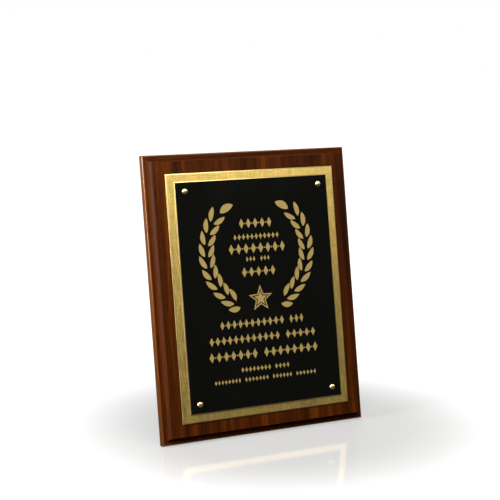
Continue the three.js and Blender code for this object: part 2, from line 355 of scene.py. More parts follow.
FACE_COLOURS = ((0.01, 0.0024, 0.0003, 1), (0.036, 0.0074, 0.0004, 1), (0.08, 0.018, 0.0009, 1))
# The edge colours are paler than the face's: partly the edge's own stain, partly painted light for the strong
# light that the flank catches from the left.
EDGE_STAIN_AND_LIGHT_COLOURS = ((0.035, 0.0088, 0.0006, 1), (0.092, 0.0245, 0.0015, 1), (0.16, 0.047, 0.0036, 1))
BACK_COLOURS = ((0.045, 0.018, 0.008, 1), (0.085, 0.035, 0.015, 1), (0.13, 0.06, 0.027, 1))
LEVEL = (0, math.radians(90), 0)
GLOSS = {"contrast": 0.8, "lacquer": 0.6, "sheen": 0.06, "index": 1.5}
MATT = {"contrast": 0.9, "lacquer": 0.02, "sheen": 0.3}
wood_face = make_wood("veneer_face", FACE_COLOURS, 1.1, 0.16, 0.3, darkening=0.12)
wood_upright_edge = make_wood("edge_stain_and_light_upright", EDGE_STAIN_AND_LIGHT_COLOURS, **GLOSS)
wood_level_edge = make_wood("edge_stain_and_light_level", EDGE_STAIN_AND_LIGHT_COLOURS, turned=LEVEL, **GLOSS)
wood_upright_hollow = make_wood("stained_hollow_upright", FACE_COLOURS, **MATT)
wood_level_hollow = make_wood("stained_hollow_level", FACE_COLOURS, turned=LEVEL, **MATT)
wood_back = make_wood("sealed_back", BACK_COLOURS, 0.9, 0.15, 0.3)
wood_leg = make_wood("stained_leg", EDGE_STAIN_AND_LIGHT_COLOURS, 0.9, 0.5, 0.25, space=LEG)
print(len(bpy.data.materials), "materials so far")

# %% [markdown]
# ## The metals
# The backing plate is brushed along the board's height. Bare brass shows where a plate's edge is
# bevelled, on the pins, and in a duller state on the floor of the engraving, which the tool leaves
# slightly rough. The fittings on the back are zinc-plated steel.

# %% Metal materials
def make_metal(name, colour, roughness, depth, space=PLAQUE):
    material, tree, shader, upright = new_material(name, space)
    brush = use_group(tree, BRUSHING, {"Vector": upright, "Depth": depth, "Roughness": roughness})
    tree.links.new(tinted(tree, colour, brush["Tone"]), shader.inputs["Base Color"])
    tree.links.new(brush["Roughness"], shader.inputs["Roughness"])
    shader.inputs["Metallic"].default_value = 1.0
    bump(tree, shader, brush["Height"], 0.12 * depth, 0.05 * MM)
    return material


GOLD = (0.85, 0.6, 0.17, 1)
BRASS = (0.88, 0.66, 0.27, 1)
SHADED_BRASS = (0.5, 0.37, 0.14, 1)
ZINC = (0.62, 0.61, 0.57, 1)
STEEL = (0.66, 0.64, 0.58, 1)
brushed_gold = make_metal("brushed_gold", GOLD, 0.36, 1.0)
bright_edge = make_metal("polished_brass_edge", SHADED_BRASS, 0.4, 0.3)
pin_brass = make_metal("polished_brass", BRASS, 0.3, 0.15)
zinc = make_metal("plated_steel", ZINC, 0.34, 0.5)
zinc_leg = make_metal("plated_steel_leg", ZINC, 0.34, 0.5, LEG)
screw_steel = make_metal("screw_steel", STEEL, 0.42, 0.4)
screw_steel_leg = make_metal("screw_steel_leg", STEEL, 0.42, 0.4, LEG)
print("gold", GOLD[:3], "zinc", ZINC[:3])

# %% Engraved brass: matt, with a fine speckle from the cutter
DULL_BRASS = (0.3, 0.215, 0.062, 1)
SPECKLE_SHARE = 0.6


def make_engraved():
    material, tree, shader, upright = new_material("engraved_brass")
    speckle = noise(tree, upright, 1500.0, 3.0)
    passes = noise(tree, upright, (160, 1, 2400), 2.0)
    mixed = plus(tree, times(tree, speckle, SPECKLE_SHARE), times(tree, passes, 1 - SPECKLE_SHARE))
    tone = in_range(tree, mixed, 0.35, 0.65, 0.78, 1.1)
    tree.links.new(tinted(tree, DULL_BRASS, tone), shader.inputs["Base Color"])
    tree.links.new(in_range(tree, mixed, 0, 1, 0.45, 0.7), shader.inputs["Roughness"])
    shader.inputs["Metallic"].default_value = 0.35
    bump(tree, shader, mixed, 0.3, 0.04 * MM)
    return material


engraved_brass = make_engraved()
print("engraving:", engraved_brass.name)

# %% Black lacquer: glossy, with faint smudges
LACQUER_BLACK = (0.0026, 0.0027, 0.0022, 1)


def make_black():
    material, tree, shader, upright = new_material("black_lacquer")
    touch = use_group(tree, HANDLING, {"Vector": upright, "Roughness": 0.13, "Amount": 0.08})
    brush = use_group(tree, BRUSHING, {"Vector": upright, "Depth": 0.6, "Roughness": 0.2})
    tree.links.new(tinted(tree, LACQUER_BLACK, brush["Tone"]), shader.inputs["Base Color"])
    tree.links.new(touch["Roughness"], shader.inputs["Roughness"])
    shader.inputs["Specular IOR Level"].default_value = 0.14
    bump(tree, shader, touch["Height"], 0.02, 0.1 * MM)
    return material


black_lacquer = make_black()
print("lacquer:", black_lacquer.name)

# %% Rubber: matt, with a fine moulded texture
RUBBER_BLACK = (0.018, 0.018, 0.019, 1)


def make_rubber():
    material, tree, shader, upright = new_material("black_rubber", LEG)
    grit = noise(tree, upright, 1400.0, 3.0)
    touch = use_group(tree, HANDLING, {"Vector": upright, "Roughness": 0.72, "Amount": 0.12})
    shade = in_range(tree, grit, 0, 1, 0.6, 1.5)
    tree.links.new(tinted(tree, RUBBER_BLACK, shade), shader.inputs["Base Color"])
    tree.links.new(touch["Roughness"], shader.inputs["Roughness"])
    bump(tree, shader, grit, 0.4, 0.08 * MM)
    return material


black_rubber = make_rubber()
print(len(bpy.data.materials), "materials")

# %% [markdown]
# ## Turning points into pieces
# `make_piece` puts a mesh into the scene and carries its points into place, so that the object itself
# stays at the origin.

# %% Helpers: mesh to object, object to body
SMOOTH_BELOW = math.radians(32)


def make_piece(name, build, materials, space=PLAQUE):
    mesh = bpy.data.meshes.new(name)
    bmesh.ops.recalc_face_normals(build, faces=build.faces)
    build.to_mesh(mesh)
    build.free()
    for material in materials:
        mesh.materials.append(material)
    mesh.transform(space)
    piece = bpy.data.objects.new(name, mesh)
    bpy.context.collection.objects.link(piece)
    return piece


def apply_modifiers(piece):
    seen = piece.evaluated_get(bpy.context.evaluated_depsgraph_get())
    baked = bpy.data.meshes.new_from_object(seen)
    piece.modifiers.clear()
    piece.data = baked


def smooth(piece):
    piece.data.shade_smooth()
    piece.data.set_sharp_from_angle(angle=SMOOTH_BELOW)
    flats = piece.modifiers.new("keep_flats_flat", "WEIGHTED_NORMAL")
    flats.keep_sharp = True
    flats.weight = 100
    apply_modifiers(piece)


def mount(piece, body, slot, *nodes):
    smooth(piece)
    if nodes:
        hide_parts(*nodes)
    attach(piece, body)
    print(f"{piece.name}: {len(piece.data.polygons)} faces, stands for {len(nodes)} CAD nodes")


print("edges sharper than", round(math.degrees(SMOOTH_BELOW)), "degrees stay sharp")

# %% [markdown]
# ## The board
# A moulded board is made by running a cutter round its edge. In a mesh that is a stack of rectangles:
# each point of the edge's profile, as an inset and a depth, gives one rectangle, and neighbouring
# rectangles are joined by four strips that meet in mitres. The hollow is a quarter of an ellipse, and
# a rounded arris leads from it to the flat rim.

# %% A panel with a profiled edge
def make_panel(width, height, profile, slot_of):
    """profile: (inset, y) from the back to the front; slot_of(step, side) picks a strip's material."""
    build = bmesh.new()
    rings = []
    for inset, y in profile:
        x, z = width / 2 - inset, height / 2 - inset
        corners = [(-x, y, -z), (x, y, -z), (x, y, z), (-x, y, z)]
        rings.append([build.verts.new(corner) for corner in corners])
    for step in range(len(rings) - 1):
        for side in range(4):
            after = (side + 1) % 4
            lower, upper = rings[step], rings[step + 1]
            strip = build.faces.new([lower[side], lower[after], upper[after], upper[side]])
            strip.material_index = slot_of(step, side)
    build.faces.new(rings[0]).material_index = slot_of(-1, 0)
    build.faces.new(rings[-1]).material_index = slot_of(len(rings), 0)
    return build


def arc(centre, radii, start, end, steps):
    points = []
    for step in range(steps + 1):
        angle = math.radians(start + (end - start) * step / steps)
        points.append((centre[0] + radii[0] * math.cos(angle), centre[1] + radii[1] * math.sin(angle)))
    return points


print("an arc in two steps:", [(round(x, 2), round(y, 2)) for x, y in arc((0, 0), (1, 1), 0, 90, 2)])

# %% The board's edge profile
EDGE_INSET, EDGE_DEPTH = 6.35 * MM, 6 * MM
ARRIS, LIP, QUIRK, EASED = 1.1 * MM, 1.3 * MM, 0.6 * MM, 0.4 * MM
eased_back = arc((EASED, BOARD.y - EASED), (EASED, EASED), 90, 180, 4)
rounded = arc((ARRIS, EDGE_DEPTH + ARRIS), (ARRIS, ARRIS), 180, 270, 8)
hollow = arc((LIP, QUIRK), (EDGE_INSET - LIP, EDGE_DEPTH - QUIRK), 90, 0, 20)
step_up = arc((EDGE_INSET + EASED / 2, EASED / 2), (EASED / 2, EASED / 2), 180, 270, 4)
board_profile = eased_back + rounded + hollow + step_up
print("board profile:", len(board_profile), "points")

# %% Prisms that cut the pockets and holes
def add_prism(build, outline, y0, y1):
    """outline: (x, z) points in order; the prism runs from y0 to y1."""
    near = [build.verts.new((x, y0, z)) for x, z in outline]
    far = [build.verts.new((x, y1, z)) for x, z in outline]
    build.faces.new(near)
    build.faces.new(far)
    for i in range(len(outline)):
        j = (i + 1) % len(outline)
        build.faces.new([near[i], near[j], far[j], far[i]])


def circle(x, z, radius, steps=32):
    return [(x + px, z + pz) for px, pz in arc((0, 0), (radius, radius), 0, 360 - 360 / steps, steps - 1)]


def rounded_rect(width, height, radius, z=0.0):
    outline = []
    for turn, (side_x, side_z) in enumerate([(1, 1), (-1, 1), (-1, -1), (1, -1)]):
        middle = (side_x * (width / 2 - radius), z + side_z * (height / 2 - radius))
        outline += arc(middle, (radius, radius), 90 * turn, 90 * turn + 90, 6)
    return outline


def cut(piece, cutter):
    """Takes cutter out of piece; cut faces keep the cutter's materials."""
    modifier = piece.modifiers.new("cut", "BOOLEAN")
    modifier.operation = "DIFFERENCE"
    modifier.solver = "EXACT"
    modifier.material_mode = "TRANSFER"
    modifier.use_self = True
    modifier.object = cutter
    apply_modifiers(piece)
    bpy.data.objects.remove(cutter)


print("a round hole has", len(circle(0, 0, 1)), "sides")

# %% Where the pins, screws and the hanger go
PIN_X, PIN_Z = 67.2 * MM, 93.6 * MM
HANGER_Z = BOARD.z / 2 - 30 * MM
HANGER_SCREW_X, HINGE_SCREW_X = 17.5 * MM, 14 * MM
HINGE_SCREW_ABOVE = 15 * MM
HOLE_RADIUS, SCREW_HOLE_RADIUS = 1 * MM, 1.5 * MM
PIN_HOLE_END, SCREW_HOLE_END = 9.4 * MM, 4 * MM
pin_places = [(x, z) for x in (-PIN_X, PIN_X) for z in (-PIN_Z, PIN_Z)]
hanger_screws = [(side * HANGER_SCREW_X, HANGER_Z) for side in (-1, 1)]
hinge_screws = [(side * HINGE_SCREW_X, hinge_in_plaque.z + HINGE_SCREW_ABOVE) for side in (-1, 1)]
print(len(pin_places), "pins and", len(hanger_screws + hinge_screws), "screws in the board")

# %% Make the board
FACE, RIM_UPRIGHT, RIM_LEVEL, HOLLOW_UPRIGHT, HOLLOW_LEVEL, BACK = range(6)
HOLLOW_STARTS = len(eased_back + rounded)
PAST = 1 * MM
RECESS_WIDTH, RECESS_HEIGHT, RECESS_DEPTH = 46.6 * MM, 24.6 * MM, 1.5 * MM
POCKET_WIDTH, POCKET_HEIGHT, POCKET_DEPTH = 13 * MM, 20 * MM, 7 * MM
CORNER = 4 * MM


def board_slot(step, side):
    if step < 0:
        return BACK
    if step >= len(board_profile):
        return FACE
    if step >= HOLLOW_STARTS:
        return HOLLOW_UPRIGHT if side % 2 else HOLLOW_LEVEL
    return RIM_UPRIGHT if side % 2 else RIM_LEVEL


board = make_piece("plaque_board", make_panel(BOARD.x, BOARD.z, board_profile, board_slot),
                   [wood_face, wood_upright_edge, wood_level_edge, wood_upright_hollow, wood_level_hollow,
                    wood_back])
recess = bmesh.new()
recess_outline = rounded_rect(RECESS_WIDTH, RECESS_HEIGHT, CORNER, HANGER_Z)
add_prism(recess, recess_outline, BOARD.y - RECESS_DEPTH, BOARD.y + PAST)
cut(board, make_piece("hanger_recess", recess, [wood_back]))
holes = bmesh.new()
head_pocket = rounded_rect(POCKET_WIDTH, POCKET_HEIGHT, CORNER, HANGER_Z)
add_prism(holes, head_pocket, BOARD.y - POCKET_DEPTH, BOARD.y + PAST)
for x, z in pin_places:
    add_prism(holes, circle(x, z, HOLE_RADIUS), -PAST, PIN_HOLE_END)
for x, z in hanger_screws + hinge_screws:
    add_prism(holes, circle(x, z, SCREW_HOLE_RADIUS), SCREW_HOLE_END, BOARD.y + PAST)
cut(board, make_piece("holes", holes, [wood_back]))
mount(board, "plaque", "lacquered_wood", "board")

# %% [markdown]
# ## The gold backing plate
# It is a thin sheet whose edge is bevelled, so the edge catches the light as a fine line round the
# brushed face. The panel function serves again, with its own short profile.

# %% Make the backing plate
BACKING = (168.3 * MM, 219.1 * MM)
BACKING_FRONT = -1.1 * MM
PLATE_THICKNESS, PLATE_EDGE, BEVEL, SOFT = 0.8 * MM, 0.3 * MM, 0.8 * MM, 0.06 * MM
THROUGH = (-5 * MM, 5 * MM)


def plate_profile(front):
    back = front + PLATE_THICKNESS
    return [(0, back), (0, back - PLATE_EDGE + SOFT), (SOFT, back - PLATE_EDGE - SOFT / 2),
            (BEVEL - SOFT, front + SOFT / 2), (BEVEL + SOFT, front)]


def plate_slot(step, side):
    return 1 if 0 <= step < len(plate_profile(0)) - 1 else 0


backing = make_piece("gold_backing_plate", make_panel(*BACKING, plate_profile(BACKING_FRONT), plate_slot),
                     [brushed_gold, bright_edge])
pin_holes = bmesh.new()
for x, z in pin_places:
    add_prism(pin_holes, circle(x, z, HOLE_RADIUS), *THROUGH)
cut(backing, make_piece("backing_holes", pin_holes, [bright_edge]))
mount(backing, "plaque", "brushed_gold", "backing_plate")

# %% [markdown]
# ## Geometry Nodes, run once
# What repeats by a rule is grown by Geometry Nodes: a tree with named inputs places copies of a small
# shape, makes them real and gives them a material. `grow` runs a tree on a mesh, sets its inputs by
# the identifiers of their sockets, and hands back plain geometry, so that no modifier stays behind.

# %% Helpers: new tree, grow
def new_tree(name, inputs):
    tree = bpy.data.node_groups.new(name, "GeometryNodeTree")
    tree.interface.new_socket("Geometry", in_out="INPUT", socket_type="NodeSocketGeometry")
    for label, kind in inputs:
        tree.interface.new_socket(label, in_out="INPUT", socket_type=kind)
    tree.interface.new_socket("Geometry", in_out="OUTPUT", socket_type="NodeSocketGeometry")
    return tree, add(tree, "NodeGroupInput").outputs, add(tree, "NodeGroupOutput").inputs


def finish_tree(tree, parts, material, out):
    together = add(tree, "GeometryNodeJoinGeometry")
    for part in reversed(parts):
        tree.links.new(part, together.inputs[0])
    real = add(tree, "GeometryNodeRealizeInstances", {"Geometry": together.outputs[0]})
    painted = add(tree, "GeometryNodeSetMaterial", {"Geometry": real.outputs[0], "Material": material})
    tree.links.new(painted.outputs[0], out["Geometry"])
    return tree


def grow(name, tree, values, places=()):
    """Runs tree on the given places and returns what it makes as an editable mesh."""
    seeds = bpy.data.meshes.new(name)
    seeds.from_pydata(places, [], [])
    holder = bpy.data.objects.new(name, seeds)
    bpy.context.collection.objects.link(holder)
    modifier = holder.modifiers.new(name, "NODES")
    modifier.node_group = tree
    sockets = [item for item in tree.interface.items_tree if item.in_out == "INPUT"]
    identifiers = {item.name: item.identifier for item in sockets}
    for label, value in values.items():
        modifier[identifiers[label]] = value
    grown = holder.evaluated_get(bpy.context.evaluated_depsgraph_get())
    build = bmesh.new()
    build.from_mesh(bpy.data.meshes.new_from_object(grown))
    bpy.data.objects.remove(holder)
    print(f"{name}: grew {len(build.faces)} faces")
    return build


LENGTH, WHOLE = "NodeSocketFloat", "NodeSocketInt"
PAINT, THING = "NodeSocketMaterial", "NodeSocketObject"
print("socket kinds:", LENGTH, WHOLE, PAINT, THING)

# %% [markdown]
# ## What the engraving shows
# A laurel wreath, a star inside it and rows of plain ornament are cut through the black lacquer into
# the brass. Each is made as a set of small prisms, and a boolean then takes them out of the plate, so
# the engraving is a real recess and its floor keeps the brass that the prisms were given.
#
# Both trees below end their shapes the same way: a flat outline is pushed into the plate and closed
# with its own underside.

# %% Helper: a flat outline becomes a closed prism
SAME = 0.001 * MM


def thicken(tree, flat, depth):
    inwards = add(tree, "ShaderNodeCombineXYZ", {"Y": depth})
    pushed = add(tree, "GeometryNodeExtrudeMesh",
                 {"Mesh": flat, "Offset": inwards.outputs[0], "Individual": False}, mode="FACES")
    underside = add(tree, "GeometryNodeFlipFaces", {"Mesh": flat})
    both = add(tree, "GeometryNodeJoinGeometry")
    tree.links.new(pushed.outputs["Mesh"], both.inputs[0])
    tree.links.new(underside.outputs[0], both.inputs[0])
    closed = add(tree, "GeometryNodeMergeByDistance", {"Geometry": both.outputs[0], "Distance": SAME})
    return closed.outputs[0]


print("points closer than", SAME / MM, "mm are joined")

# %% [markdown]
# ## The laurel
# Each branch follows half an ellipse. Leaves sit in pairs along it, one turned outwards and one
# inwards, and single leaves close the foot and the tip. One leaf is a circle with its points moved:
# they are drawn to a point at both ends and bent a little to one side. `Splay` turns the leaves away
# from the branch, and `Follow` turns them on along its curve.

# %% Helpers: where a point is, and moving it
def position(tree):
    place = add(tree, "GeometryNodeInputPosition").outputs[0]
    return add(tree, "ShaderNodeSeparateXYZ", {0: place}).outputs


def moved(tree, geometry, x, z):
    spot = add(tree, "ShaderNodeCombineXYZ", {"X": x, "Z": z}).outputs[0]
    return add(tree, "GeometryNodeSetPosition", {"Geometry": geometry, "Position": spot}).outputs[0]


print("flat shapes are drawn in x and z, and pushed along y")

# %% One leaf
LEAF_CORNERS = 28
LEAF_BEND = 0.05


def leaf_outline(tree, given):
    disc = add(tree, "GeometryNodeMeshCircle", {"Vertices": LEAF_CORNERS, "Radius": 1.0}, fill_type="NGON")
    at = position(tree)
    along = maths(tree, "POWER", times(tree, plus(tree, at["X"], 1.0), 0.5), 1.1)
    sharp = maths(tree, "POWER", maths(tree, "ABSOLUTE", at["Y"]), 0.7)
    across = times(tree, times(tree, at["Y"], sharp), times(tree, given["Leaf Width"], 0.5))
    belly = minus(tree, 1.0, times(tree, at["X"], at["X"]))
    bend = times(tree, times(tree, belly, given["Leaf Length"]), LEAF_BEND)
    reach = plus(tree, times(tree, along, given["Leaf Length"]), given["Stalk"])
    shaped = moved(tree, disc.outputs["Mesh"], reach, plus(tree, across, bend))
    return thicken(tree, shaped, given["Depth"])


print("a leaf has", LEAF_CORNERS, "corners")

# %% A branch and the leaves on it
LEAF_VARIETY = 0.04


def branch(tree, given, count, start, end):
    """Points along one branch, and the direction of growth at each as an angle in the x-z plane."""
    steps = maths(tree, "MAXIMUM", minus(tree, count, 1), 1.0)
    share = maths(tree, "DIVIDE", add(tree, "GeometryNodeInputIndex").outputs[0], steps)
    angle = plus(tree, start, times(tree, share, minus(tree, end, start)))
    sine, cosine = maths(tree, "SINE", angle), maths(tree, "COSINE", angle)
    wide, high = given["Half Width"], given["Half Height"]
    less_wide = times(tree, wide, -1)
    line = add(tree, "GeometryNodeMeshLine", {"Count": count})
    placed = moved(tree, line.outputs[0], times(tree, less_wide, sine),
                   times(tree, times(tree, high, -1), cosine))
    growth = maths(tree, "ARCTAN2", times(tree, high, sine), times(tree, less_wide, cosine))
    return placed, growth


def leaves_on(tree, points, leaf, direction, size):
    """size: how long and how wide; a negative width mirrors the leaf."""
    turn = add(tree, "ShaderNodeCombineXYZ", {"Y": times(tree, direction, -1)})
    least, most = size[0] * (1 - LEAF_VARIETY), size[0] * (1 + LEAF_VARIETY)
    variety = add(tree, "FunctionNodeRandomValue", {"Min": least, "Max": most, "Seed": 4}, data_type="FLOAT")
    scale = add(tree, "ShaderNodeCombineXYZ", {"X": variety.outputs["Value"], "Y": 1.0, "Z": size[1]})
    spin = add(tree, "FunctionNodeEulerToRotation", {0: turn.outputs[0]})
    placed = add(tree, "GeometryNodeInstanceOnPoints",
                 {"Points": points, "Instance": leaf, "Rotation": spin.outputs[0], "Scale": scale.outputs[0]})
    return placed.outputs[0]


print("leaves vary in length by", round(100 * LEAF_VARIETY), "percent either way")

# %% Tree: laurel wreath
def make_laurel_tree():
    tree, given, out = new_tree("laurel_wreath", [
        ("Half Width", LENGTH), ("Half Height", LENGTH), ("Foot", LENGTH), ("Start", LENGTH), ("End", LENGTH),
        ("Tip", LENGTH), ("Pairs", WHOLE), ("Leaf Length", LENGTH), ("Leaf Width", LENGTH), ("Splay", LENGTH),
        ("Follow", LENGTH), ("Stalk", LENGTH), ("Depth", LENGTH), ("Material", PAINT)])
    leaf = leaf_outline(tree, given)
    points, growth = branch(tree, given, given["Pairs"], given["Start"], given["End"])
    ahead = minus(tree, growth, given["Follow"])
    outward = plus(tree, ahead, given["Splay"])
    inward = minus(tree, ahead, given["Splay"])
    tip, tip_growth = branch(tree, given, 1, given["Tip"], given["Tip"])
    tip_way = minus(tree, tip_growth, given["Splay"])
    foot, foot_growth = branch(tree, given, 1, given["Foot"], given["Foot"])
    foot_way = plus(tree, foot_growth, given["Splay"])
    one_side = add(tree, "GeometryNodeJoinGeometry")
    for part in (leaves_on(tree, points, leaf, outward, (1.0, 1.0)),
                 leaves_on(tree, points, leaf, inward, (0.95, -0.95)),
                 leaves_on(tree, foot, leaf, foot_way, (0.9, 1.1)),
                 leaves_on(tree, tip, leaf, tip_way, (1.12, 1.45))):
        tree.links.new(part, one_side.inputs[0])
    other_side = add(tree, "GeometryNodeTransform", {"Geometry": one_side.outputs[0], "Scale": (-1, 1, 1)})
    return finish_tree(tree, [one_side.outputs[0], other_side.outputs[0]], given["Material"], out)


laurel_tree = make_laurel_tree()
print("laurel tree:", len(laurel_tree.nodes), "nodes")

# %% [markdown]
# ## Rows of ornament
# The inscription's rows are plain ornament: lozenges with a small bead between each two, in the
# lengths and heights that lines of an inscription would have.

# %% Tree: a row of lozenges and beads
LOZENGE_HALF_WIDTH, BEAD_RADIUS = 0.34, 0.1


def row_of(tree, count, pitch, shape):
    start = times(tree, minus(tree, count, 1), times(tree, pitch, -0.5))
    line = add(tree, "GeometryNodeMeshLine",
               {"Count": count, "Start Location": add(tree, "ShaderNodeCombineXYZ", {"X": start}).outputs[0],
                "Offset": add(tree, "ShaderNodeCombineXYZ", {"X": pitch}).outputs[0]})
    placed = add(tree, "GeometryNodeInstanceOnPoints", {"Points": line.outputs[0], "Instance": shape})
    return placed.outputs[0]


def flat_disc(tree, corners, half_width, half_height):
    disc = add(tree, "GeometryNodeMeshCircle", {"Vertices": corners, "Radius": 1.0}, fill_type="NGON")
    at = position(tree)
    return moved(tree, disc.outputs[0], times(tree, at["X"], half_width), times(tree, at["Y"], half_height))


def make_row_tree():
    tree, given, out = new_tree("ornament_row", [
        ("Count", WHOLE), ("Pitch", LENGTH), ("Height", LENGTH), ("Depth", LENGTH), ("Material", PAINT)])
    half_height = times(tree, given["Height"], 0.5)
    half_width = times(tree, given["Pitch"], LOZENGE_HALF_WIDTH)
    lozenge = thicken(tree, flat_disc(tree, 4, half_width, half_height), given["Depth"])
    radius = times(tree, given["Pitch"], BEAD_RADIUS)
    bead = thicken(tree, flat_disc(tree, 10, radius, radius), given["Depth"])
    rows = [row_of(tree, given["Count"], given["Pitch"], lozenge),
            row_of(tree, minus(tree, given["Count"], 1), given["Pitch"], bead)]
    return finish_tree(tree, rows, given["Material"], out)


row_tree = make_row_tree()
print("row tree:", len(row_tree.nodes), "nodes")

# %% Grow the wreath and the rows
ENGRAVING = (154 * MM, 204.8 * MM)
ENGRAVING_FRONT = -2.2 * MM
CUT_DEPTH, CUT_ABOVE = 0.1 * MM, 0.3 * MM
CUT_START, CUT_END = ENGRAVING_FRONT - CUT_ABOVE, ENGRAVING_FRONT + CUT_DEPTH
engraving_cuts = bmesh.new()


def take_in(build, x, z):
    """Moves what was grown to its place on the plate and adds it to the cuts, which have one material."""
    bmesh.ops.translate(build, vec=(x, CUT_START, z), verts=build.verts)
    for face in build.faces:
        face.material_index = 0
    mesh = bpy.data.meshes.new("grown")
    build.to_mesh(mesh)
    build.free()
    engraving_cuts.from_mesh(mesh)
    bpy.data.meshes.remove(mesh)


WREATH_HEIGHT = 37 * MM
wreath = grow("wreath", laurel_tree, {
    "Half Width": 51 * MM, "Half Height": 52 * MM, "Foot": math.radians(19), "Start": math.radians(26),
    "End": math.radians(117.5), "Tip": math.radians(130), "Pairs": 9, "Leaf Length": 13 * MM,
    "Leaf Width": 4.8 * MM, "Splay": math.radians(24), "Follow": math.radians(11), "Stalk": 4.6 * MM,
    "Depth": CUT_END - CUT_START, "Material": engraved_brass})
take_in(wreath, 0, WREATH_HEIGHT)

# (height above the plate's middle, height of the row, where each stretch starts and ends), in millimetres
ROWS = [
    (62, 9, [(-17.5, 17.5)]),
    (50, 5.5, [(-23.5, 23.5)]),
    (39.5, 9.5, [(-29.5, 29.5)]),
    (30, 5, [(-12.5, -2), (2, 12.5)]),
    (18.5, 9, [(-18, 18)]),
    (-27, 8, [(-43, 23), (27, 43)]),
    (-40.5, 8, [(-54.5, 17.5), (22, 54.5)]),
    (-54.5, 9, [(-56, -6), (-1.5, 56)]),
    (-68, 5, [(-25, 6), (9, 25)]),
    (-77, 4.5, [(-52, -25), (-22, 3), (6, 27), (30, 52)]),
]
LOZENGE_SHARE = 0.78
for z, height, stretches in ROWS:
    for start, end in stretches:
        count = max(2, round((end - start) / (height * LOZENGE_SHARE)))
        row = grow("row", row_tree, {
            "Count": count, "Pitch": (end - start) / count * MM, "Height": height * MM,
            "Depth": CUT_END - CUT_START, "Material": engraved_brass})
        take_in(row, (start + end) / 2 * MM, z * MM)

# %% A five-pointed star with a star inside it
STAR_HEIGHT, STAR_RADIUS = -6 * MM, 12.5 * MM
WAIST = 0.42
OUTLINE_INSIDE, SMALL_STAR = 0.74, 0.56


def star_outline(radius):
    points = []
    for corner in range(10):
        angle = math.radians(90 + 36 * corner)
        reach = radius * (WAIST if corner % 2 else 1)
        points.append((reach * math.cos(angle), STAR_HEIGHT + reach * math.sin(angle)))
    return points


outer, middle = star_outline(STAR_RADIUS), star_outline(STAR_RADIUS * OUTLINE_INSIDE)
for i in range(10):
    j = (i + 1) % 10
    ring = [[engraving_cuts.verts.new((x, y, z)) for y in (CUT_START, CUT_END)]
            for x, z in (outer[i], outer[j], middle[j], middle[i])]
    engraving_cuts.faces.new([pair[0] for pair in ring])
    engraving_cuts.faces.new([pair[1] for pair in ring])
    engraving_cuts.faces.new([ring[0][0], ring[1][0], ring[1][1], ring[0][1]])
    engraving_cuts.faces.new([ring[2][0], ring[3][0], ring[3][1], ring[2][1]])
bmesh.ops.remove_doubles(engraving_cuts, verts=engraving_cuts.verts, dist=SAME)
add_prism(engraving_cuts, star_outline(STAR_RADIUS * SMALL_STAR), CUT_START, CUT_END)
print("engraving:", len(engraving_cuts.faces), "faces to cut with")

# %% Make the engraved plate
engraving = make_piece("engraved_plate", make_panel(*ENGRAVING, plate_profile(ENGRAVING_FRONT), plate_slot),
                       [black_lacquer, bright_edge])
for x, z in pin_places:
    add_prism(engraving_cuts, circle(x, z, HOLE_RADIUS), *THROUGH)
cut(engraving, make_piece("engraving_cuts", engraving_cuts, [engraved_brass]))
mount(engraving, "plaque", "black_brass", "engraving_plate")

# %% [markdown]
# ## Turned pieces
# Pins and screws are turned: a profile goes once round an axis. Only half of the outline is drawn,
# as radius and depth, from the axis to the axis.

# %% Helper: turn a profile round the y axis
def turned(profile, steps=32):
    build = bmesh.new()
    loops = []
    for radius, y in profile:
        if radius == 0:
            loops.append([build.verts.new((0, y, 0))] * steps)
            continue
        loops.append([build.verts.new((px, y, pz)) for px, pz in circle(0, 0, radius, steps)])
    for lower, upper in zip(loops, loops[1:]):
        for i in range(steps):
            j = (i + 1) % steps
            corners = [lower[i], lower[j], upper[j], upper[i]]
            build.faces.new([v for k, v in enumerate(corners) if v not in corners[:k]])
    return build


print("a turned piece has as many sides as a round hole:", len(circle(0, 0, 1)))

# %% [markdown]
# ## Fasteners by Geometry Nodes
# One tree serves pins and screws: it takes the places as points, sets one fastener at each, and turns
# each by its own chance amount, as they come to rest when they are driven in.

# %% Tree: fasteners at points
def make_fastener_tree():
    tree, given, out = new_tree("fasteners", [("Fastener", THING), ("Tip Over", LENGTH), ("Seed", WHOLE),
                                              ("Material", PAINT)])
    piece = add(tree, "GeometryNodeObjectInfo", {"Object": given["Fastener"], "As Instance": True})
    whole_turn = {"Min": 0.0, "Max": math.tau, "Seed": given["Seed"]}
    chance = add(tree, "FunctionNodeRandomValue", whole_turn, data_type="FLOAT")
    turn = add(tree, "ShaderNodeCombineXYZ", {"X": given["Tip Over"], "Y": chance.outputs["Value"]})
    spin = add(tree, "FunctionNodeEulerToRotation", {0: turn.outputs[0]}).outputs[0]
    points = add(tree, "GeometryNodeMeshToPoints", {"Mesh": given["Geometry"]}).outputs[0]
    placed = add(tree, "GeometryNodeInstanceOnPoints",
                 {"Points": points, "Instance": piece.outputs["Geometry"], "Rotation": spin})
    return finish_tree(tree, [placed.outputs[0]], given["Material"], out)


FASTENERS = make_fastener_tree()


def set_fasteners(name, pattern, places, material, seed, space=PLAQUE, tip_over=0.0):
    values = {"Fastener": pattern, "Tip Over": tip_over, "Seed": seed, "Material": material}
    made = make_piece(name, grow(name, FASTENERS, values, places), [material], space)
    bpy.data.objects.remove(pattern)
    return made


print("fastener tree:", len(FASTENERS.nodes), "nodes")

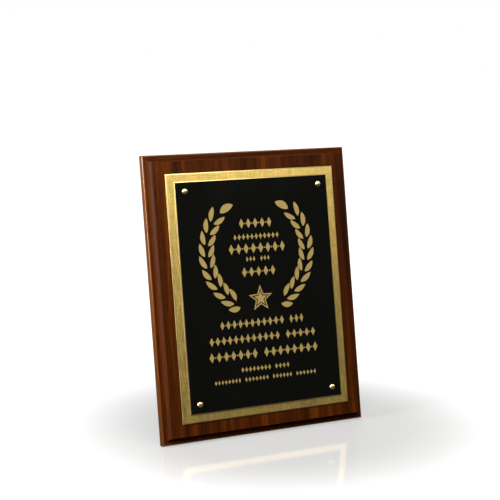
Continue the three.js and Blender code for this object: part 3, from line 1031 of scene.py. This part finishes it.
# %% The four pins
PIN_HEAD, PIN_DOME, PIN_SHANK = 2.6 * MM, 1.7 * MM, 0.7 * MM
DOME_FOOT = 0.25 * MM
PIN_FACE = ENGRAVING_FRONT - 0.3 * MM
dome = arc((0, -DOME_FOOT), (PIN_HEAD, PIN_DOME - DOME_FOOT), -90, 0, 10)
pin_profile = [(0, -PIN_DOME)] + dome[1:] + [
    (PIN_HEAD, -0.08 * MM), (PIN_HEAD - 0.1 * MM, 0), (PIN_SHANK, 0), (PIN_SHANK, 10 * MM), (0, 11.4 * MM)]
pin_pattern = make_piece("pin_pattern", turned(pin_profile), [pin_brass], HERE)
pins = set_fasteners("plate_pins", pin_pattern, [(x, PIN_FACE, z) for x, z in pin_places], pin_brass, 3)
mount(pins, "plaque", "pin_brass", "plate_pin_top_left", "plate_pin_top_right", "plate_pin_bottom_left",
      "plate_pin_bottom_right")

# %% [markdown]
# ## Screws
# The six screws have countersunk heads with a cross recess. Their tapered threads are hidden in the
# wood, so the shank is plain.

# %% A countersunk screw with a cross recess
SCREW_HEAD, SCREW_SHANK = 2.6 * MM, 1.2 * MM
SLOT_HALF_LENGTH, SLOT_HALF_WIDTH, SLOT_DEPTH, SLOT_TAPER = 1.55 * MM, 0.3 * MM, 1 * MM, 0.45


def slot_cutter(across):
    """One slot of the cross; its ends slope in towards the bottom. across: along x instead of z."""
    long_side, short_side = SLOT_HALF_LENGTH, SLOT_HALF_WIDTH
    half_x, half_z = (long_side, short_side) if across else (short_side, long_side)
    taper_x, taper_z = (SLOT_TAPER, 1) if across else (1, SLOT_TAPER)
    corners = [(side_x * half_x, side_z * half_z) for side_x, side_z in ((1, 1), (-1, 1), (-1, -1), (1, -1))]
    build = bmesh.new()
    deep = [build.verts.new((x * taper_x, -SLOT_DEPTH, z * taper_z)) for x, z in corners]
    open_end = [build.verts.new((x, 0.2 * MM, z)) for x, z in corners]
    build.faces.new(deep)
    build.faces.new(open_end)
    for i in range(4):
        build.faces.new([deep[i], deep[(i + 1) % 4], open_end[(i + 1) % 4], open_end[i]])
    return make_piece("slot", build, [screw_steel], HERE)


def screw_pattern(length):
    profile = [(0, -length), (SCREW_SHANK, 2 * SCREW_SHANK - length), (SCREW_SHANK, -1.5 * MM),
               (SCREW_HEAD, -0.25 * MM), (SCREW_HEAD, -0.05 * MM), (SCREW_HEAD - 0.06 * MM, 0), (0, 0)]
    screw = make_piece("screw_pattern", turned(profile), [screw_steel], HERE)
    cut(screw, slot_cutter(True))
    cut(screw, slot_cutter(False))
    return screw


print("screw heads are", 2 * SCREW_HEAD / MM, "mm wide")

# %% Set the screws
LEAF_FACE = hinge_in_plaque.y - 1.3 * MM
screw_places = [(x, BOARD.y, z) for x, z in hanger_screws] + [(x, LEAF_FACE, z) for x, z in hinge_screws]
screws = set_fasteners("board_screws", screw_pattern(8 * MM), screw_places, screw_steel, 5)
mount(screws, "plaque", "screw_steel", "hanger_screw_left", "hanger_screw_right", "hinge_board_screw_left",
      "hinge_board_screw_right")
leg_places = [(side * HINGE_SCREW_X, -2.3 * MM, -HINGE_SCREW_ABOVE) for side in (-1, 1)]
leg_screws = set_fasteners("leg_screws", screw_pattern(5.4 * MM), leg_places, screw_steel_leg, 8,
                           space=LEG, tip_over=math.pi)
mount(leg_screws, "easel_leg", "screw_steel", "hinge_leg_screw_left", "hinge_leg_screw_right")

# %% [markdown]
# ## Pressed and sawn pieces
# The hanger, the hinge's leaves and its pin, the leg and its tip already have their right shape in
# the CAD model, but their edges are razor sharp. A copy of each is cleaned up and given small
# rounded edges, which catch the light as real ones do.

# %% Helper: a copy of a CAD node with eased edges
EDGE_ANGLE = math.radians(35)
EASE_STEPS = 3


def eased_copy(name, node, material, width):
    build = bmesh.new()
    build.from_mesh(frame["nodes"][node].data)
    bmesh.ops.remove_doubles(build, verts=build.verts, dist=2e-6)
    bmesh.ops.dissolve_limit(build, angle_limit=math.radians(1), verts=build.verts, edges=build.edges)
    for face in build.faces:
        face.material_index = 0
    piece = make_piece(name, build, [material], HERE)
    bevel = piece.modifiers.new("eased", "BEVEL")
    bevel.width = width
    bevel.segments = EASE_STEPS
    bevel.limit_method = "ANGLE"
    bevel.angle_limit = EDGE_ANGLE
    apply_modifiers(piece)
    return piece


print("edges over", round(math.degrees(EDGE_ANGLE)), "degrees are eased")

# %% Make the fittings, the leg and its tip
FITTINGS = [
    ("wall_hanger", "keyhole_hanger", zinc, 0.15 * MM, "plaque", "plated_steel"),
    ("hinge_upper_leaf", "hinge_board_leaf", zinc, 0.1 * MM, "plaque", "plated_steel"),
    ("hinge_rod", "hinge_pin", zinc, 0.2 * MM, "plaque", "plated_steel"),
    ("hinge_lower_leaf", "hinge_leg_leaf", zinc_leg, 0.1 * MM, "easel_leg", "plated_steel"),
    ("folding_leg", "easel_leg", wood_leg, 0.8 * MM, "easel_leg", "stained_wood"),
    ("rubber_foot", "leg_tip", black_rubber, 0.35 * MM, "easel_leg", "rubber_tip"),
]
for name, node, material, width, body, slot in FITTINGS:
    mount(eased_copy(name, node, material, width), body, slot, node)

# %% [markdown]
# ## Stage
# The plaque stands on a pale glossy floor in front of white. The floor's glow is only there for the
# camera: it is dimmer round the plaque's foot, which is a painted soft shadow. To the object itself the
# floor is dark, so that it puts no grey veil on the wood and the black lacquer. The surroundings work
# the same way: white to the camera, dark in front of the object and dim beside and behind it.

# %% Floor
TO_THE_OBJECT, TO_THE_CAMERA = (0.04, 0.04, 0.04, 1), (0.12, 0.12, 0.12, 1)
SHADE_CENTRE = (20 * MM, -10 * MM, 0)
SHADE_FROM, SHADE_TO = 100 * MM, 280 * MM
floor_material, floor_tree, floor_shader, floor_space = new_material("pale_floor", HERE)
looked_at = add(floor_tree, "ShaderNodeLightPath").outputs["Is Camera Ray"]
floor_colour = mix_colours(floor_tree, looked_at, TO_THE_OBJECT, TO_THE_CAMERA)
floor_tree.links.new(floor_colour, floor_shader.inputs["Base Color"])
away = add(floor_tree, "ShaderNodeVectorMath", {0: floor_space, 1: SHADE_CENTRE},
           operation="DISTANCE").outputs["Value"]
# Painted shadow: the glow is dimmer near the plaque's foot and rises to full white away from SHADE_CENTRE.
glow = in_range(floor_tree, away, SHADE_FROM, SHADE_TO, 0.46, 1.05, "SMOOTHSTEP")
seen_glow = times(floor_tree, looked_at, glow)
seen_gloss = times(floor_tree, looked_at, 0.05)
floor_tree.links.new(seen_glow, floor_shader.inputs["Emission Strength"])
floor_tree.links.new(seen_gloss, floor_shader.inputs["Specular IOR Level"])
floor_shader.inputs["Emission Color"].default_value = (1, 1, 1, 1)
floor_shader.inputs["Roughness"].default_value = 0.08
floor_build = bmesh.new()
bmesh.ops.create_grid(floor_build, x_segments=1, y_segments=1, size=6)
floor = make_piece("floor", floor_build, [floor_material], HERE)
print("floor:", [round(v, 2) for v in floor.dimensions], "m")

# %% World: what the camera sees, and what lights the object
world = bpy.data.worlds.new("studio")
world.use_nodes = True
bpy.context.scene.world = world
sky = world.node_tree
backdrop = sky.nodes["Background"]
backdrop.inputs["Color"].default_value = (1, 1, 1, 1)
backdrop.inputs["Strength"].default_value = 1.0
towards = add(sky, "ShaderNodeTexCoord").outputs["Generated"]
backwards = add(sky, "ShaderNodeSeparateXYZ", {0: towards}).outputs["Y"]
beside = in_range(sky, backwards, -0.75, -0.35, 0.03, 0.15, "SMOOTHSTEP")
behind = in_range(sky, backwards, 0.3, 0.6, 0.0, 0.05, "SMOOTHSTEP")
dim = plus(sky, beside, behind)
surround = add(sky, "ShaderNodeBackground", {"Color": (1, 1, 1, 1), "Strength": dim})
seen = add(sky, "ShaderNodeLightPath").outputs["Is Camera Ray"]
choose = add(sky, "ShaderNodeMixShader", {0: seen, 1: surround.outputs[0], 2: backdrop.outputs[0]})
sky.links.new(choose.outputs[0], sky.nodes["World Output"].inputs["Surface"])
print("world:", world.name)

# %% [markdown]
# ## Lights
# A large warm light above the camera does most of the work. The glow mirrors in the brushed gold, which
# fades away from it towards the lower right. A light from the left shapes the hollow, and a strip
# behind it draws the bright line along the board's rounded arris: it only shows in reflections. Weak
# lights from the right and from behind keep those sides readable.

# %% Lights
AIM = face_centre
# (name, direction from the plaque, distance in metres, width and height in metres, watts, colour)
LIGHTS = [
    ("overhead_front", (-0.2, -0.58, 0.8), 1.5, (1.2, 0.9), 38, (1, 0.97, 0.92)),
    ("glow_on_gold", (0.46, -0.78, 0.5), 1.7, (0.8, 0.4), 6.7, (1, 1, 1)),
    ("left", (-1, -0.1, 0.3), 1.3, (0.4, 0.8), 40, (1, 1, 1)),
    ("left_strip", (-0.85, 0.5, 0.3), 1.15, (1.0, 0.5), 80, (1, 1, 1)),
    ("right_fill", (1, -0.1, 0.5), 1.8, (0.8, 0.8), 5, (1, 1, 1)),
    ("behind", (0.45, 0.8, 0.6), 1.6, (1.0, 0.8), 22, (1, 1, 1)),
]
for name, towards, distance, size, power, colour in LIGHTS:
    light = bpy.data.lights.new(name, "AREA")
    light.shape = "RECTANGLE"
    light.size, light.size_y = size
    light.energy = power
    light.color = colour
    lamp = bpy.data.objects.new(name, light)
    lamp.location = AIM + Vector(towards).normalized() * distance
    lamp.rotation_euler = Vector(towards).to_track_quat("Z", "Y").to_euler()
    lamp.visible_diffuse = name != "left_strip"
    bpy.context.collection.objects.link(lamp)
    print(f"{name}: {power} W from {distance} m")

# %% Colour management
bpy.context.scene.view_settings.view_transform = "Standard"
print("view transform:", bpy.context.scene.view_settings.view_transform)
